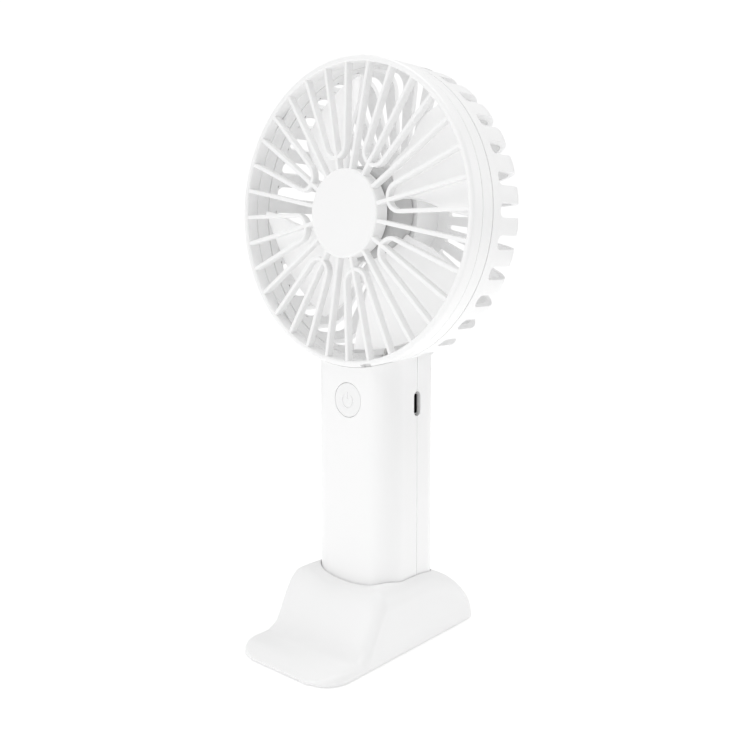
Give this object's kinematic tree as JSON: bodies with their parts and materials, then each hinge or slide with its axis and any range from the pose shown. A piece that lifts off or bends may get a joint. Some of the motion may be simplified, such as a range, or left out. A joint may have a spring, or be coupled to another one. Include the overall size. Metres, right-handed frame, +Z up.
{
  "type": "handheld electric fan",
  "caption": "Slim white handheld fan: round head with a radial spoked front grille, ribbed back and box handle, standing in a low desk dock with a curved ramp.",
  "frame": {"origin": "on the surface the dock stands on, at the middle of the dock's length and width; the handle's axis is 7 mm behind it", "axes": "+Z up along the handle, -Y the way the fan blows, +X to the fan's left as it faces you"},
  "size_m": [0.096, 0.074, 0.184],
  "materials": {
    "white_shell": "satin white injection-moulded ABS",
    "white_grille": "satin white injection-moulded ABS",
    "white_impeller": "smooth white moulded plastic",
    "white_button": "satin white moulded button",
    "white_dock": "satin white injection-moulded ABS",
    "black_plastic": "black moulded plastic",
    "circuit_board": "green glass-epoxy laminate",
    "steel": "plain bright steel",
    "brass": "plain brass",
    "copper": "enamelled copper windings",
    "ferrite": "dark sintered ferrite",
    "cell_sleeve": "shrink-sleeved cell",
    "foam": "dark closed-cell foam",
    "sleeve_rubber": "grey rubber",
    "foot_rubber": "pale silicone rubber",
    "wire_white": "off-white lead insulation",
    "wire_red": "red lead insulation",
    "wire_black": "black lead insulation"
  },
  "bodies": {
    "dock": {"dock_shell": "white_dock", "dock_plate": "white_dock", "dock_screw_1": "steel", "dock_screw_2": "steel", "dock_screw_3": "steel", "dock_screw_4": "steel", "dock_foot_1": "foot_rubber", "dock_foot_2": "foot_rubber", "dock_foot_3": "foot_rubber", "dock_foot_4": "foot_rubber"},
    "fan_body": {"front_shell": "white_shell", "rear_shell": "white_shell", "switch_body": "black_plastic", "circuit_board": "circuit_board", "usb_port_shell": "steel", "usb_port_tongue": "black_plastic", "charger_chip": "black_plastic", "board_inductor": "ferrite", "battery_cell": "cell_sleeve", "battery_pad_front": "foam", "battery_pad_rear": "foam", "battery_tab_top": "steel", "battery_tab_bottom": "steel", "case_screw_1": "steel", "case_screw_2": "steel", "case_screw_3": "steel", "case_screw_4": "steel", "motor_lead_left": "wire_white", "motor_lead_right": "wire_white", "battery_lead_positive": "wire_red", "battery_lead_negative": "wire_black", "motor_can": "steel", "motor_magnet_left": "ferrite", "motor_magnet_right": "ferrite", "motor_endcap": "white_impeller", "motor_bush": "brass", "motor_sleeve": "sleeve_rubber", "motor_terminal_left": "brass", "motor_terminal_right": "brass"},
    "spinner": {"impeller": "white_impeller", "motor_shaft": "steel", "motor_rotor": "copper", "motor_commutator": "copper"},
    "grille": {"front_grille": "white_grille"},
    "button": {"power_button": "white_button", "switch_plunger": "black_plastic"}
  },
  "joints": [
    {"name": "lift_from_dock", "type": "slide", "parent": "dock", "child": "fan_body", "axis": [0, 0, 1], "range_m": [0, 0.022]},
    {"name": "impeller_spin", "type": "hinge", "parent": "fan_body", "child": "spinner", "pos_m": [0, 0.007, 0.136], "axis": [0, 1, 0], "continuous": true},
    {"name": "grille_pull", "type": "slide", "parent": "fan_body", "child": "grille", "axis": [0, -1, 0], "range_m": [0, 0.014]},
    {"name": "button_press", "type": "slide", "parent": "fan_body", "child": "button", "axis": [0, 1, 0], "range_m": [0, 0.0005], "stiffness_N_per_m": 1500, "springref_m": -0.0003}
  ]
}
